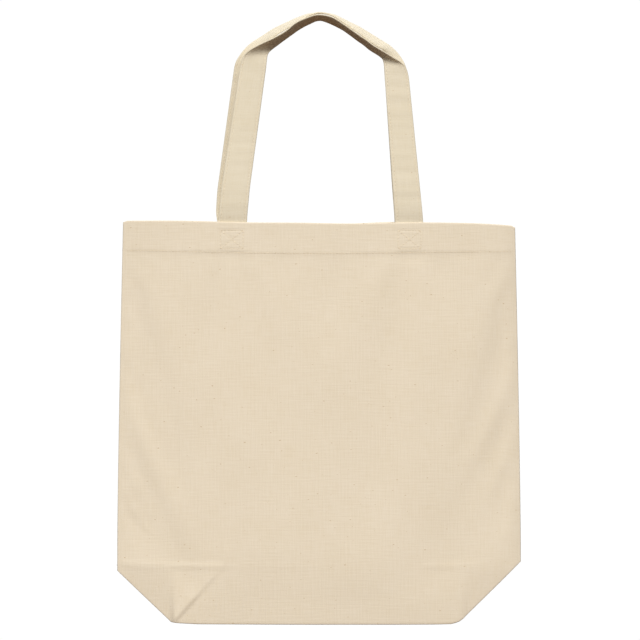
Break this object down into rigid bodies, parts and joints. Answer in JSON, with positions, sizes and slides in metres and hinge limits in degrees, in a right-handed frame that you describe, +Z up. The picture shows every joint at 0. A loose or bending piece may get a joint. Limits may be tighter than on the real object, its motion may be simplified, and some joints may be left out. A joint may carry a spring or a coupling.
{
  "type": "tote bag",
  "caption": "Plain canvas tote bag with a turned hem, a boxed base folded flat and two flat strap handles sewn inside the hem.",
  "frame": {"origin": "under the middle of the base, halfway between the front and rear walls, at the height of the lowest fold", "axes": "+Z up towards the handles, -Y out of the front wall, +X to the right seen from the front"},
  "size_m": [0.37, 0.0324, 0.5672],
  "materials": {
    "canvas": "unbleached cotton canvas, plain weave",
    "strap": "folded unbleached cotton canvas strap",
    "thread": "natural polycotton sewing thread"
  },
  "bodies": {
    "bag": {"front_panel": "canvas", "rear_panel": "canvas", "base_panel": "canvas", "left_gusset_fold": "canvas", "right_gusset_fold": "canvas", "left_corner_ear": "canvas", "right_corner_ear": "canvas", "front_hem_facing": "canvas", "rear_hem_facing": "canvas", "left_side_seam": "canvas", "right_side_seam": "canvas", "front_left_strap_end": "strap", "front_right_strap_end": "strap", "rear_left_strap_end": "strap", "rear_right_strap_end": "strap", "front_hem_stitching": "thread", "rear_hem_stitching": "thread", "left_seam_overlock": "thread", "right_seam_overlock": "thread", "front_left_box_stitching": "thread", "front_right_box_stitching": "thread", "rear_left_box_stitching": "thread", "rear_right_box_stitching": "thread"},
    "front_handle": {"front_handle": "strap"},
    "rear_handle": {"rear_handle": "strap"}
  },
  "joints": [
    {"name": "front_handle_fold", "type": "hinge", "parent": "bag", "child": "front_handle", "pos_m": [0, -0.01405, 0.37485], "axis": [1, 0, 0], "range_deg": [0, 170]},
    {"name": "rear_handle_fold", "type": "hinge", "parent": "bag", "child": "rear_handle", "pos_m": [0, 0.01405, 0.37485], "axis": [-1, 0, 0], "range_deg": [0, 170]}
  ]
}
